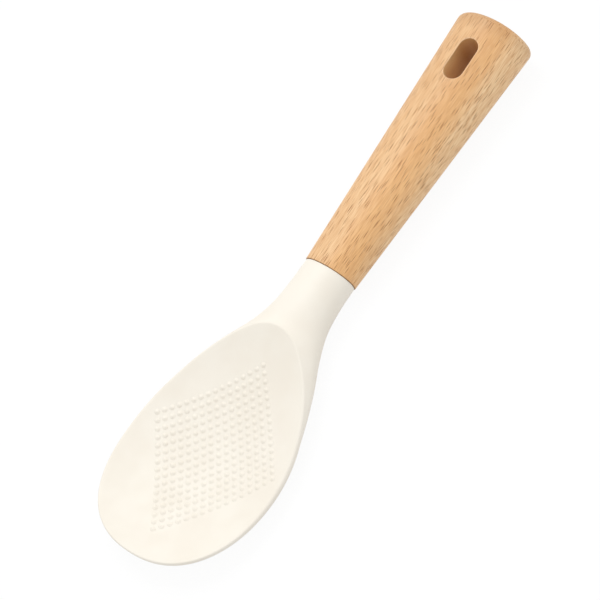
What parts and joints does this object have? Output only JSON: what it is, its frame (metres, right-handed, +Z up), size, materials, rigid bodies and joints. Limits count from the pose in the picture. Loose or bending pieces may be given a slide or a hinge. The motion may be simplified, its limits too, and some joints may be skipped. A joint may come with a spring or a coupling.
{
  "type": "rice paddle",
  "caption": "Rice paddle with a dished, dotted soft blade moulded over a stiff core, and a glued-on oval beech handle with a hanging slot.",
  "frame": {"origin": "under the middle of the paddle, on the table that it lies on with the dish facing up", "axes": "+Y from the blade's tip towards the handle's end, +Z up out of the dish, +X across to the right seen from above with the handle away from the viewer. The handle's own axis rises 1.3 degrees towards the handle's end."},
  "size_m": [0.0692, 0.2406, 0.0238],
  "materials": {
    "silicone": "matt cream food-grade silicone rubber",
    "nylon": "natural glass-filled nylon, hidden",
    "adhesive": "cured clear amber epoxy, hidden",
    "beech": "fine-sanded oiled beech"
  },
  "bodies": {
    "root": {"soft_blade": "silicone", "blade_core": "nylon", "tang_adhesive": "adhesive", "wooden_handle": "beech"}
  },
  "joints": []
}
